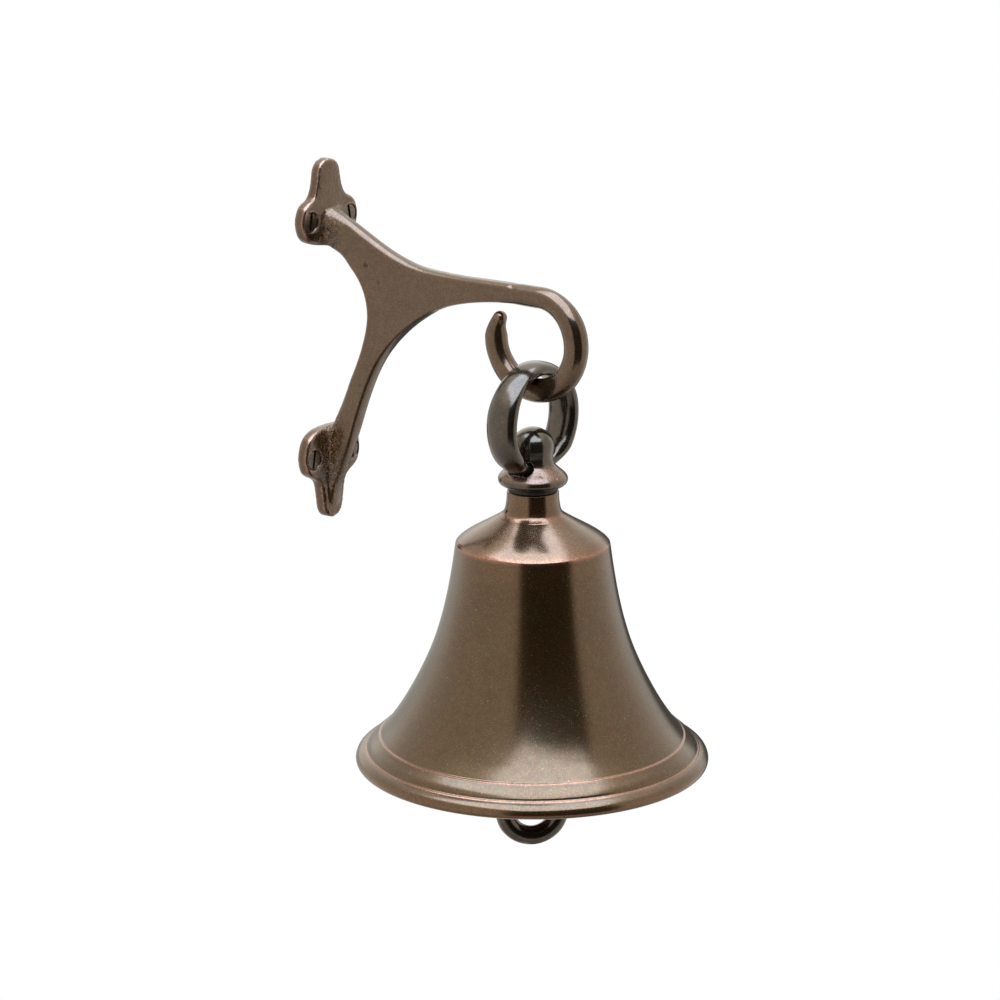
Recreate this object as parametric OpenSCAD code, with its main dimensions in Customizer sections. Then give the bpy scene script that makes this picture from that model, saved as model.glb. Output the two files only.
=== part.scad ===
// Wall mounted bell. The wall is the plane y = 0 and the bell hangs on its -Y side.
// The origin is the centre of the four wall screws, on the wall.

/* [Wall plates] */
// Thickness of each wall plate
plate_t = 5; // [4:0.5:6]
// Height of each pair of screws above or below the middle
screw_z = 53; // [51:0.5:55]
// Distance of each screw to the side of the middle
screw_x = 13; // [12:0.5:14]
// Half width of a plate across its two side lobes
plate_half_w = 18.6; // [18:0.1:20]
// Height of the upper finial's end above the middle
upper_tip = 79.4; // [76:0.2:82]
// Half width of the upper finial
upper_finial_w = 7.8; // [6:0.1:8]
// Depth of the lower finial's end below the middle
lower_tip = 81.8; // [76:0.2:82]
// Half width of the lower finial
lower_finial_w = 7.1; // [6:0.1:8]

/* [Bracket] */
// Width of the flat-sided arms
web_w = 8.6; // [8:0.2:10]
// Width of the narrower crest along the arms' outer edges
crest_w = 5.4; // [4:0.2:6]
// Distance from the wall to the middle of the hook
hook_y = 116.3; // [115.5:0.1:117]
// Height of the middle of the hook
hook_z = 14; // [12:0.5:16]
// Radius of the hook's centreline
hook_r = 21; // [19:0.5:23]
// Radius of the hook's round section
hook_bar_r = 5.2; // [4.5:0.1:5.5]
// Angle that the hook's tip turns through above the hook's middle
tip_angle = 28; // [20:1:32]

/* [Wall screws] */
// Length of a wall screw
screw_len = 32; // [25:1:45]
// Radius of a wall screw's shank, in the wall
shank_r = 2.1; // [1.8:0.1:2.2]
// Radius of a wall screw's head
head_r = 4.1; // [3.8:0.1:4.3]

/* [Link] */
// Radius of the link's centreline
link_r = 21.7; // [21:0.1:22.5]
// Radial half thickness of the link's sides
link_side_t = 4.0; // [3.4:0.1:4.4]
// Half width of the link's sides
link_side_w = 7.2; // [6:0.1:7.6]

/* [Bell] */
// Distance from the wall to the bell's axis
bell_y = 114.9; // [114.5:0.1:116]
// Radius of the bell's mouth at its widest
mouth_r = 76.2; // [75:0.1:77]
// Radius of the hole for the stud
stud_hole_r = 4.3; // [4.2:0.1:4.6]

/* [Clapper] */
// Radius of the clapper ball
ball_r = 17; // [14:0.5:18]
// Radius of the clapper rod
rod_r = 3.6; // [3:0.1:4]
// Radius of the tail ring's centreline
tail_r = 12; // [11:0.5:13]
// Radius of the tail ring's section
tail_bar_r = 4.2; // [3.5:0.1:4.5]
// Angle of the tail ring about the bell's axis
tail_turn = 48; // [0:1:90]

/* [Hidden] */
$fn = 96;

// How far a cut runs past the surface that it cuts
over = 1;
// Free space between pieces that touch and move
gap = 0.3;
// Free space under the link, which hangs a little to the wall's side of the hook's middle
hook_gap = 0.45;

// Colours
bronze = [0.43, 0.34, 0.25];
worn_bronze = [0.45, 0.40, 0.30];
dark_screw = [0.30, 0.24, 0.17];
brass = [0.62, 0.52, 0.28];
leather = [0.10, 0.08, 0.07];

// Screw seats
seat_r = 4.4;
seat_depth = 2.6;
screw_hole_r = 2.4;
head_drop = 0.4;
screw_neck_r = shank_r + 0.1;
slot_w = 1.2;
slot_depth = 1.3;
point_len = 8;

// The link hangs on the bottom of the hook
link_top_t = 3.2;
link_top_w = 6.5;
link_low_w = 4.8;
hook_bottom_z = hook_z - hook_r;
link_top_z = hook_bottom_z + hook_bar_r + hook_gap + link_top_t;
link_z = link_top_z - link_r;
link_low_z = link_z - link_r;

// The crown eye hangs on the bottom of the link
eye_slot_w = 5.9;
eye_slot_top = link_low_z + link_top_t + gap;
eye_slot_h = 7.4;
eye_slot_bend = 36;
eye_slot_r = eye_slot_h / 2;
eye_slot_flat = eye_slot_w - eye_slot_r;
eye_slot_mid = link_z - eye_slot_top + eye_slot_r;
knob_r = 9.1;
knob_h = 8.3;
knob_z = eye_slot_top + 6.4;
flange_z = -48.9;
stud_r = 4;
stud_end_z = -84;

// Levels down the bell's axis
neck_z = -50.7;
head_inside_z = -70;
washer_t = 2;
nut_h = 6.5;
nut_across = 13;
staple_top_z = head_inside_z - washer_t - nut_h - 0.5;
staple_boss_r = 6.5;
eye_r = 7;
eye_bar_r = 2.6;
staple_eye_z = -97;
pivot_z = staple_eye_z - eye_r;
rod_eye_z = pivot_z + 2 * eye_bar_r + gap - eye_r;
ball_z = -155;
rod_end_z = -181;
tail_z = -194.5;
tail_boss_r = 5.2;

// Point at t on a cubic curve with ends a and d and handles b and c
function curve_point(a, b, c, d, t) =
    pow(1 - t, 3) * a + 3 * pow(1 - t, 2) * t * b + 3 * (1 - t) * t * t * c + pow(t, 3) * d;

// Points along a cubic curve, without its last end
function curve(a, b, c, d, steps = 10) =
    [for (i = [0 : steps - 1]) curve_point(a, b, c, d, i / steps)];

// Points of a smooth line through every point of a list
function smooth(p, steps = 5) = concat(
    [for (i = [0 : len(p) - 2], k = [0 : steps - 1])
        let (
            before = p[max(i - 1, 0)],
            after = p[min(i + 2, len(p) - 1)],
            near = p[i] + (p[i + 1] - before) / 6,
            far = p[i + 1] - (after - p[i]) / 6
        )
        curve_point(p[i], near, far, p[i + 1], k / steps)],
    [p[len(p) - 1]]
);

// Points round an ellipse centred at x on the first axis
function ellipse(x, rx, ry, steps = 28) =
    [for (i = [0 : steps - 1]) [x + rx * cos(i * 360 / steps), ry * sin(i * 360 / steps)]];

// Side outline of the bracket's web, as [distance from the wall, height]
web_outline = concat(
    curve([2, 53.9], [16.5, 49], [37, 32.6], [62, 32.2]),
    curve([62, 32.2], [76, 31.2], [90, 33], [104, 34.2], 5),
    [[104, 30.8]],
    curve([96, 29.8], [84, 28], [70, 26], [60, 19.6]),
    curve([60, 19.6], [46, 11], [35, 1], [27.6, -11.4]),
    curve([27.6, -11.4], [19.6, -26], [15.6, -46], [5, -64]),
    [[5, -64], [2, -64], [2, -43]],
    curve([5, -42.5], [14, -24], [27.3, -1], [27.3, 14]),
    curve([27.3, 14], [27.3, 28], [15, 38.5], [5, 42.5]),
    [[5, 42.5], [2, 43]]
);

// Side outline of the narrower crest, which stands out beyond the web
crest_outline = concat(
    curve([2, 58.6], [18, 53.8], [38, 37.9], [60, 37]),
    curve([60, 37], [76, 35.6], [92, 37.2], [106, 37.2], 5),
    [[106, 28.6]],
    curve([98, 28.4], [86, 27.4], [74, 25.4], [64, 21]),
    curve([64, 21], [49, 13.4], [37, 1.6], [29.4, -12]),
    curve([29.4, -12], [21.4, -27], [16.8, -47], [6.6, -67]),
    [[6.6, -67], [2, -67], [2, -48]],
    curve([9, -38], [18, -22], [33, -4], [33, 14]),
    curve([33, 14], [33, 28], [19, 36], [9, 42]),
    [[2, 48]]
);

// Inner edge of each wall plate from its side lobe to its middle, as [x, distance from middle]
upper_inner = [[17.7, 48.4], [15.2, 44.8], [10, 42.6], [0, 40.8]];
lower_inner = [[18.1, 48.4], [16, 44], [12, 41.2], [6.6, 40], [0, 39.6]];

// Right half of a wall plate's outline, from its finial's end to its inner edge
function half_plate(tip, finial_w, inner) = smooth(concat([
    [0, tip], [0.56 * finial_w, tip - 1.4], [0.88 * finial_w, tip - 4.8], [finial_w, tip - 10],
    [finial_w + 1.3, 65.4], [11, 62.6], [14.4, 60.9], [17.2, 58.3], [plate_half_w, 53.4]
], inner));

// A wall plate's whole outline
module plate_outline(tip, finial_w, inner) {
    right = half_plate(tip, finial_w, inner);
    left = [for (i = [len(right) - 2 : -1 : 1]) [-right[i][0], right[i][1]]];
    polygon(concat(right, left));
}

// Holes and countersunk seats for all four screws
module screw_seats() {
    for (x = [-screw_x, screw_x], z = [-screw_z, screw_z]) {
        translate([x, over, z]) rotate([90, 0, 0]) {
            cylinder(h = plate_t + 2 * over, r = screw_hole_r);
            translate([0, 0, plate_t + over - seat_depth])
                cylinder(h = seat_depth - head_drop, r1 = screw_hole_r, r2 = seat_r);
            translate([0, 0, plate_t + over - head_drop]) cylinder(h = over + head_drop, r = seat_r);
        }
    }
}

// A side outline given a width across the bracket
module side_plate(outline, width) {
    rotate([0, 0, -90]) rotate([90, 0, 0]) linear_extrude(height = width, center = true) polygon(outline);
}

// Part of a round bar bent in the plane x = 0, from angle a1 to a2 above level, towards the wall
module bent_bar(y, z, bend_r, bar_r, a1, a2) {
    translate([0, -y, z]) rotate([0, 0, 90]) rotate([90, 0, 0])
        rotate_extrude(angle = a2 - a1, start = a1) translate([bend_r, 0]) circle(r = bar_r);
}

module hook() {
    shoulder_r = hook_r - 2;
    shoulder_y = hook_y + hook_r - shoulder_r;
    arm_bar_r = 4.6;
    inner_bar_r = 4.8;
    tip_bend_r = 15;
    tip_y = hook_y - hook_r + tip_bend_r;
    tip_bar_r = 4.4;
    tip_end_r = 3.8;
    // From the arm over the outer shoulder, down, round the bottom and up to the tip
    translate([0, -shoulder_y, hook_z + shoulder_r]) rotate([-90, 0, 0]) cylinder(h = 28, r = arm_bar_r);
    bent_bar(shoulder_y, hook_z, shoulder_r, arm_bar_r, 90, 140);
    bent_bar(shoulder_y, hook_z, shoulder_r, hook_bar_r, 130, 180);
    bent_bar(hook_y, hook_z, hook_r, hook_bar_r, -180, -50);
    bent_bar(hook_y, hook_z, hook_r, inner_bar_r, -60, 0);
    bent_bar(tip_y, hook_z, tip_bend_r, tip_bar_r, -2, tip_angle / 2);
    bent_bar(tip_y, hook_z, tip_bend_r, tip_end_r, tip_angle / 2 - 2, tip_angle);
    translate([0, -tip_y, hook_z]) rotate([tip_angle, 0, 0]) translate([0, tip_bend_r, 0])
        sphere(r = tip_end_r);
}

module bracket() {
    color(bronze) difference() {
        union() {
            rotate([90, 0, 0]) linear_extrude(height = plate_t)
                plate_outline(upper_tip, upper_finial_w, upper_inner);
            mirror([0, 0, 1]) rotate([90, 0, 0]) linear_extrude(height = plate_t)
                plate_outline(lower_tip, lower_finial_w, lower_inner);
            side_plate(web_outline, web_w);
            side_plate(crest_outline, crest_w);
            hook();
        }
        screw_seats();
    }
}

// One slotted countersunk wood screw, its head at the front of the plate
module wall_screw() {
    rotate([-90, 0, 0]) difference() {
        // The neck narrows to the shank, which starts at the wall
        rotate_extrude() polygon([
            [0, 0], [head_r, 0], [screw_neck_r, seat_depth - head_drop], [shank_r, plate_t - head_drop],
            [shank_r, screw_len - point_len], [0.3, screw_len], [0, screw_len]
        ]);
        translate([-slot_w / 2, -head_r - over, -over])
            cube([slot_w, 2 * (head_r + over), slot_depth + over]);
    }
}

module wall_screws() {
    color(dark_screw) for (x = [-screw_x, screw_x], z = [-screw_z, screw_z]) {
        translate([x, -plate_t + head_drop, z]) wall_screw();
    }
}

// Part of the link's ring with an oval section, from angle a1 to a2
module link_arc(half_t, half_w, a1, a2) {
    translate([0, -bell_y, link_z]) rotate([90, 0, 0])
        rotate_extrude(angle = a2 - a1, start = a1) polygon(ellipse(link_r, half_t, half_w));
}

module link() {
    color(worn_bronze) {
        link_arc(link_top_t, link_top_w, 36, 144);
        link_arc(link_side_t, link_side_w, -48, 43);
        link_arc(link_side_t, link_side_w, 137, 228);
        link_arc(link_top_t, link_low_w, 220, 320);
    }
}

// Outline of the crown eye's slot as [distance from the link's middle, sideways], with round ends
slot_outline = concat(
    [for (a = [-90 : 15 : 90]) [eye_slot_mid + eye_slot_r * sin(a), eye_slot_flat + eye_slot_r * cos(a)]],
    [for (a = [90 : 15 : 270]) [eye_slot_mid + eye_slot_r * sin(a), -eye_slot_flat + eye_slot_r * cos(a)]]
);

module crown_eye() {
    waist_r = 8.7;
    rim_r = 14.9;
    eye_outline = concat(
        [[0, knob_z + knob_h]],
        [for (a = [80 : -10 : -10]) [knob_r * cos(a), knob_z + knob_h * sin(a)]],
        smooth([[waist_r, -35.4], [8.8, -37.4], [9.6, -39.4], [11.4, -41.3], [13.4, -43.1], [rim_r, -45.4],
            [14.5, -47.2], [13, -48.4], [11, flange_z]], 3),
        [[stud_r, flange_z], [stud_r, stud_end_z + 0.6], [stud_r - 0.6, stud_end_z], [0, stud_end_z]]
    );
    color(worn_bronze) difference() {
        translate([0, -bell_y, 0]) rotate_extrude() polygon(eye_outline);
        // Slot that the bottom of the link passes through, bent like the link
        translate([0, -bell_y, link_z]) rotate([90, 0, 0])
            rotate_extrude(angle = 2 * eye_slot_bend, start = 270 - eye_slot_bend) polygon(slot_outline);
    }
}

// A ring round the bell's axis, between two levels
module washer(outer_r, inner_r, z_low, z_high) {
    translate([0, -bell_y, z_low]) difference() {
        cylinder(h = z_high - z_low, r = outer_r);
        translate([0, 0, -over]) cylinder(h = z_high - z_low + 2 * over, r = inner_r);
    }
}

module crown_gasket() {
    color(leather) washer(10.8, stud_hole_r, neck_z, flange_z);
}

// Outside of the bell, as [radius, height], with a small step at each raised ridge
bell_outside = concat(
    [[10.6, neck_z], [11.1, neck_z - 0.5]],
    smooth([[11.1, -51.2], [11.3, -55], [11.9, -58.3], [13.4, -60.8], [16, -62.9], [20, -65.3], [25, -68.2],
        [29, -70.6], [31.6, -72.5], [32.8, -73.8]]),
    smooth([[33.1, -74.8], [34.5, -84], [36.6, -96], [39.4, -108], [43.2, -120],
        [48.4, -132], [54.7, -144], [60.4, -153], [65.5, -159.4]]),
    smooth([[66.5, -159.9], [69.6, -162.6], [71.3, -165.1]]),
    smooth([[72.2, -165.6], [75, -167.2], [mouth_r, -169.6], [75.8, -171.2], [74.4, -172]], 4)
);

// Inside of the bell, from the mouth up
bell_inside = concat(
    smooth([[72.4, -172], [69.6, -170.4], [63.4, -164.2], [57, -156.8], [50.4, -147.4], [45.4, -138.6],
        [40.6, -127], [36.8, -114], [34.2, -101], [32, -88], [29.6, -79.6], [25, -75], [18, -72.4],
        [13.6, -70.6]]),
    [[12.8, head_inside_z], [stud_hole_r, head_inside_z], [stud_hole_r, neck_z]]
);

module bell() {
    color(bronze) translate([0, -bell_y, 0]) rotate_extrude() polygon(concat(bell_outside, bell_inside));
}

module crown_washer() {
    color(brass) washer(11.5, stud_r + 0.1, head_inside_z - washer_t, head_inside_z);
}

module crown_nut() {
    nut_z = head_inside_z - washer_t - nut_h;
    color(brass) translate([0, -bell_y, nut_z]) difference() {
        cylinder(h = nut_h, r = nut_across / 2 / cos(30), $fn = 6);
        translate([0, 0, -over]) cylinder(h = nut_h + 2 * over, r = stud_r);
    }
}

module staple() {
    boss_h = staple_top_z - staple_eye_z - eye_r + 1;
    boss_z = staple_top_z - boss_h;
    color(brass) translate([0, -bell_y, 0]) difference() {
        union() {
            translate([0, 0, boss_z]) cylinder(h = boss_h, r = staple_boss_r);
            translate([0, 0, boss_z - 1]) cylinder(h = 1, r1 = staple_boss_r - 2, r2 = staple_boss_r);
            translate([0, 0, staple_eye_z]) rotate([90, 0, 0]) rotate_extrude()
                translate([eye_r, 0]) circle(r = eye_bar_r);
        }
        translate([0, 0, stud_end_z - gap]) cylinder(h = staple_top_z - stud_end_z + gap + over, r = stud_r);
    }
}

module clapper_rod() {
    shoulder_z = rod_eye_z - eye_r;
    color(brass) translate([0, -bell_y, 0]) {
        translate([0, 0, rod_eye_z]) rotate([0, 90, 0]) rotate_extrude()
            translate([eye_r, 0]) circle(r = eye_bar_r);
        translate([0, 0, rod_end_z]) cylinder(h = shoulder_z - rod_end_z, r = rod_r);
    }
}

module clapper_ball() {
    collar_r = 6.2;
    collar_h = 5;
    color(brass) translate([0, -bell_y, ball_z]) difference() {
        union() {
            sphere(r = ball_r);
            translate([0, 0, ball_r - 1.4]) cylinder(h = collar_h, r1 = collar_r, r2 = rod_r + 1);
            translate([0, 0, -ball_r + 1.4 - collar_h]) cylinder(h = collar_h, r1 = rod_r + 1, r2 = collar_r);
        }
        translate([0, 0, -2 * ball_r]) cylinder(h = 4 * ball_r, r = rod_r);
    }
}

module tail_ring() {
    boss_top = rod_end_z + 5;
    boss_low = tail_z + tail_r;
    color(worn_bronze) translate([0, -bell_y, 0]) rotate([0, 0, tail_turn]) difference() {
        union() {
            translate([0, 0, tail_z]) rotate([0, 90, 0]) rotate_extrude()
                translate([tail_r, 0]) circle(r = tail_bar_r);
            translate([0, 0, boss_low]) cylinder(h = boss_top - boss_low, r = tail_boss_r);
        }
        translate([0, 0, rod_end_z]) cylinder(h = boss_top - rod_end_z + over, r = rod_r);
    }
}

bracket();
wall_screws();
link();
crown_eye();
crown_gasket();
bell();
crown_washer();
crown_nut();
staple();
clapper_rod();
clapper_ball();
tail_ring();
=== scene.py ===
"""Looks of the wall mounted bell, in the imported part's frame: the wall is y = 0 and the bell hangs on -Y.

Each piece is modelled in millimetres and scaled to metres when it is finished.
"""
import math

import bmesh
import bpy
import numpy as np
from mathutils import Matrix, Vector, noise
from mathutils.geometry import tessellate_polygon


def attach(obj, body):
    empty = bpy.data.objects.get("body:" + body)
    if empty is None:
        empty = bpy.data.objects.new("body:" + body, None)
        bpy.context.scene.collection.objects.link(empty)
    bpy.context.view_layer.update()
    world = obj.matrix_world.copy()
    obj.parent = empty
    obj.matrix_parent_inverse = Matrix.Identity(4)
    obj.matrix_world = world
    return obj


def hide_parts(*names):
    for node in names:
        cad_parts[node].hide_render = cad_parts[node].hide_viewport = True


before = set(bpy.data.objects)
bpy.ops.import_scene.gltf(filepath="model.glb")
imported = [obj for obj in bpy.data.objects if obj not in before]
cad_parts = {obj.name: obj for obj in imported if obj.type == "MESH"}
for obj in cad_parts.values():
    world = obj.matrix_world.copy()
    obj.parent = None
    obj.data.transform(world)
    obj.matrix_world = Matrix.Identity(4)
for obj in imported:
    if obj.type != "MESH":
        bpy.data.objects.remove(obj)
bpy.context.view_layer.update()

MM = 0.001
# The bell's axis, the front of the plates and half the arms' thickness
BELL_Y = -114.9
PLATE_FACE = 5.0
ARM_HALF = 4.3
# The screws' places, to each side of the middle
SEAT_X, SEAT_Z = 13, 53
# The link's middle and the radius of its bar's middle line
RING_Z, RING_R = -19.85, 21.7

# -------- curves


def cubic(a, b, c, d, steps):
    """Points along a cubic curve, without its last end."""
    a, b, c, d = (np.array(v, float) for v in (a, b, c, d))
    t = (np.arange(steps) / steps)[:, None]
    return (1 - t) ** 3 * a + 3 * (1 - t) ** 2 * t * b + 3 * (1 - t) * t ** 2 * c + t ** 3 * d


def smooth(points, steps=8):
    """A smooth line through every point."""
    p = [np.array(v, float) for v in points]
    out = []
    for i in range(len(p) - 1):
        before, after = p[max(i - 1, 0)], p[min(i + 2, len(p) - 1)]
        leaving, arriving = (p[i + 1] - before) / 6, (after - p[i]) / 6
        out.append(cubic(p[i], p[i] + leaving, p[i + 1] - arriving, p[i + 1], steps))
    return np.vstack(out + [p[-1][None]])


def ease(x, low, high):
    """0 below low, 1 above high and smooth between."""
    t = np.clip((np.asarray(x, float) - low) / (high - low), 0, 1)
    return t * t * (3 - 2 * t)


def rounded(points, radius, steps=4):
    """An open profile with its inner corners rounded."""
    p = [np.array(v, float) for v in points]
    out = [p[0]]
    for a, b, c in zip(p, p[1:], p[2:]):
        u, v = a - b, c - b
        cut = min(radius, np.linalg.norm(u) / 2.1, np.linalg.norm(v) / 2.1)
        s, e = b + u / np.linalg.norm(u) * cut, b + v / np.linalg.norm(v) * cut
        for t in np.linspace(0, 1, steps + 1):
            out.append((1 - t) ** 2 * s + 2 * (1 - t) * t * b + t * t * e)
    return np.array(out + [p[-1]])


# -------- meshes, in millimetres until placed


def mesh_object(name, verts, faces):
    data = bpy.data.meshes.new(name)
    data.from_pydata([tuple(map(float, v)) for v in verts], [], faces)
    data.validate()
    obj = bpy.data.objects.new(name, data)
    bpy.context.scene.collection.objects.link(obj)
    return obj


def row_faces(rows, around, closed=False):
    """The four-sided faces between rows of points that each run round a shape."""
    faces = []
    for i in range(rows if closed else rows - 1):
        j = (i + 1) % rows
        for k in range(around):
            m = (k + 1) % around
            faces.append((i * around + k, i * around + m, j * around + m, j * around + k))
    return faces


def ring_faces(segments, sides):
    """The same for a ring, whose last row joins the first, with each face turned over."""
    return [(a, d, c, b) for a, b, c, d in row_faces(segments, sides, True)]


def tidy_normals(obj):
    bm = bmesh.new()
    bm.from_mesh(obj.data)
    bmesh.ops.remove_doubles(bm, verts=bm.verts, dist=1e-4)
    bmesh.ops.recalc_face_normals(bm, faces=bm.faces)
    bm.to_mesh(obj.data)
    bm.free()
    return obj


def revolve(name, profile, segments=192, closed=False, wobble=None):
    """Turns a profile of (radius, height) about Z. A radius of 0 becomes one point."""
    verts, rings = [], []
    angles = np.arange(segments) * 2 * math.pi / segments
    for i, (r, z) in enumerate(profile):
        if r < 1e-6:
            rings.append([len(verts)])
            verts.append((0, 0, z))
            continue
        rings.append(list(range(len(verts), len(verts) + segments)))
        for a in angles:
            rr = r + (wobble(a, z, i) if wobble else 0)
            verts.append((rr * math.cos(a), rr * math.sin(a), z))
    faces = []
    pairs = list(zip(rings, rings[1:])) + ([(rings[-1], rings[0])] if closed else [])
    for lo, hi in pairs:
        for k in range(segments):
            m = (k + 1) % segments
            if len(lo) == 1 and len(hi) == 1:
                continue
            if len(lo) == 1:
                faces.append((lo[0], hi[m], hi[k]))
            elif len(hi) == 1:
                faces.append((lo[k], lo[m], hi[0]))
            else:
                faces.append((lo[k], lo[m], hi[m], hi[k]))
    return tidy_normals(mesh_object(name, verts, faces))


def sweep(name, centres, radii, segments=32):
    """A round bar with a rounded end, along points that lie in a plane square to X."""
    c = np.array(centres, float)
    t = np.gradient(c, axis=0)
    t /= np.linalg.norm(t, axis=1)[:, None]
    side = np.array((1.0, 0.0, 0.0))
    levels = list(zip(c, t, radii))
    levels += [(c[-1] + t[-1] * radii[-1] * math.sin(f), t[-1], radii[-1] * math.cos(f))
               for f in np.linspace(0, math.pi / 2 - 0.12, 7)[1:]]
    verts = []
    for middle, along, r in levels:
        up = np.cross(side, along)
        verts.extend(middle + r * (math.cos(a) * side + math.sin(a) * up)
                     for a in np.arange(segments) * 2 * math.pi / segments)
    faces = row_faces(len(levels), segments)
    faces += [tuple(range(segments)), tuple(reversed(range(len(verts) - segments, len(verts))))]
    return tidy_normals(mesh_object(name, verts, faces))


def box_object(name, size):
    """A box of that size about the origin."""
    data = bpy.data.meshes.new(name)
    bm = bmesh.new()
    bmesh.ops.create_cube(bm, size=1)
    bm.to_mesh(data)
    bm.free()
    data.transform(Matrix.Diagonal((*size, 1)))
    obj = bpy.data.objects.new(name, data)
    bpy.context.scene.collection.objects.link(obj)
    return obj


def torus(name, ring_r, bar_r, segments, sides):
    """A ring about Z."""
    verts = []
    for i in range(segments):
        a = i * 2 * math.pi / segments
        for k in range(sides):
            b = k * 2 * math.pi / sides
            r = ring_r + bar_r * math.cos(b)
            verts.append((r * math.cos(a), r * math.sin(a), bar_r * math.sin(b)))
    return tidy_normals(mesh_object(name, verts, ring_faces(segments, sides)))


def moved(obj, matrix):
    obj.data.transform(matrix)
    return obj


def turn(degrees, axis):
    return Matrix.Rotation(math.radians(degrees), 4, axis)


def shift(x, y, z):
    return Matrix.Translation((x, y, z))


def on_axis(obj):
    """Moves a piece made about Z to the bell's axis."""
    return moved(obj, shift(0, BELL_Y, 0))


def eye_ring(ring_r, bar_r, z, axis, segments=128, sides=40):
    """A ring that stands upright at that height, turned a quarter about the axis."""
    return moved(torus("ring", ring_r, bar_r, segments, sides), shift(0, 0, z) @ turn(90, axis))


def apply_modifiers(obj):
    dg = bpy.context.evaluated_depsgraph_get()
    data = bpy.data.meshes.new_from_object(obj.evaluated_get(dg))
    obj.modifiers.clear()
    old, obj.data = obj.data, data
    bpy.data.meshes.remove(old)
    return obj


def cut(obj, cutter):
    """Takes cutter's solid out of obj."""
    m = obj.modifiers.new("cut", "BOOLEAN")
    m.operation, m.solver, m.object = "DIFFERENCE", "EXACT", cutter
    bpy.context.view_layer.update()
    apply_modifiers(obj)
    bpy.data.objects.remove(cutter)
    return obj


def join(name, objs):
    """One object from several closed shells."""
    bm = bmesh.new()
    for o in objs:
        bm.from_mesh(o.data)
    data = bpy.data.meshes.new(name)
    bm.to_mesh(data)
    bm.free()
    for o in objs:
        bpy.data.objects.remove(o)
    obj = bpy.data.objects.new(name, data)
    bpy.context.scene.collection.objects.link(obj)
    return obj


def cast_together(obj, voxel):
    """Joins overlapping shells into one skin, as one casting has."""
    m = obj.modifiers.new("skin", "REMESH")
    m.mode, m.voxel_size, m.adaptivity = "VOXEL", voxel, 0
    bpy.context.view_layer.update()
    return apply_modifiers(obj)


def coords(obj):
    co = np.empty(len(obj.data.vertices) * 3, np.float32)
    obj.data.vertices.foreach_get("co", co)
    return co.reshape(-1, 3).astype(float)


def set_coords(obj, co):
    obj.data.vertices.foreach_set("co", co.astype(np.float32).ravel())
    obj.data.update()


def edge_pairs(obj):
    e = np.empty(len(obj.data.edges) * 2, np.int64)
    obj.data.edges.foreach_get("vertices", e)
    return e.reshape(-1, 2)


class Skin:
    """A mesh's points, its edges and how many neighbours each point has, for smoothing."""

    def __init__(self, obj):
        self.obj = obj
        self.at = coords(obj)
        self.edges = edge_pairs(obj)
        self.count = np.bincount(self.edges.ravel(), minlength=len(self.at)).clip(1)

    def gathered(self, values):
        """The sum of each point's neighbours."""
        a, b, n = self.edges[:, 0], self.edges[:, 1], len(values)
        return np.bincount(a, values[b], n) + np.bincount(b, values[a], n)

    def pull(self, factor, weight):
        """Moves each point towards the middle of its neighbours, or away from it if the factor is below 0."""
        middle = np.stack([self.gathered(self.at[:, k]) for k in range(3)], 1) / self.count[:, None]
        self.at = self.at + factor * weight * (middle - self.at)

    def smoothed(self, rounds, weight, factors):
        weight = np.broadcast_to(np.asarray(weight, float), len(self.at))[:, None]
        for i in range(rounds):
            for factor in factors:
                self.pull(factor, weight)
        set_coords(self.obj, self.at)


def relax(obj, rounds, weight):
    """Smooths the skin, by weight at each vertex, with little loss of size."""
    Skin(obj).smoothed(rounds, weight, (0.6, -0.57))


def soften(obj, rounds, weight):
    """Smooths the skin more strongly, which fills inner corners like a casting fillet."""
    Skin(obj).smoothed(rounds, weight, (0.5,))


def normals(obj):
    n = np.empty(len(obj.data.vertices) * 3, np.float32)
    obj.data.vertex_normals.foreach_get("vector", n)
    return n.reshape(-1, 3).astype(float)


def edge_curve(obj, blur):
    """How convex the skin is at each vertex: above 0 on outer edges, below 0 in inner corners, per mm."""
    skin, n = Skin(obj), normals(obj)
    a, b = skin.edges[:, 0], skin.edges[:, 1]
    d = skin.at[b] - skin.at[a]
    bend = ((n[b] - n[a]) * d).sum(1) / np.maximum((d ** 2).sum(1), 1e-9)
    h = (np.bincount(a, bend, len(n)) + np.bincount(b, bend, len(n))) / skin.count
    for i in range(blur):
        h = 0.5 * h + 0.5 * skin.gathered(h) / skin.count
    return h


def bump_at(at, place, size):
    """1 at a place on the skin, falling to 0 around it."""
    return np.exp(-(np.linalg.norm(at - np.array(place), axis=1) / size) ** 2)


def line_at(values, middle, half_width):
    """1 where the values are at the middle, falling to 0 on both sides."""
    return np.exp(-((values - middle) / half_width) ** 2)


def ripple(co, size, seed, octaves=3):
    """Smooth noise of about -1 to 1 at each point, with lumps of that size."""
    shift_by = Vector((seed * 7.13, seed * 3.71, seed * 5.37))
    return np.array([noise.fractal(Vector(c) / size + shift_by, 1.0, 2.0, octaves) for c in co])


def uneven(obj, size, seed, height):
    """Makes the skin gently uneven, as a casting is."""
    at = coords(obj)
    set_coords(obj, at + normals(obj) * (ripple(at, size, seed, 2) * height)[:, None])


def paint(obj, **masks):
    """Stores 0 to 1 masks, such as wear, for the material to read."""
    for name, values in masks.items():
        a = obj.data.attributes.new(name, "FLOAT", "POINT")
        spread = np.broadcast_to(values, len(obj.data.vertices))
        a.data.foreach_set("value", np.clip(spread, 0, 1).astype(np.float32))


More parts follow.
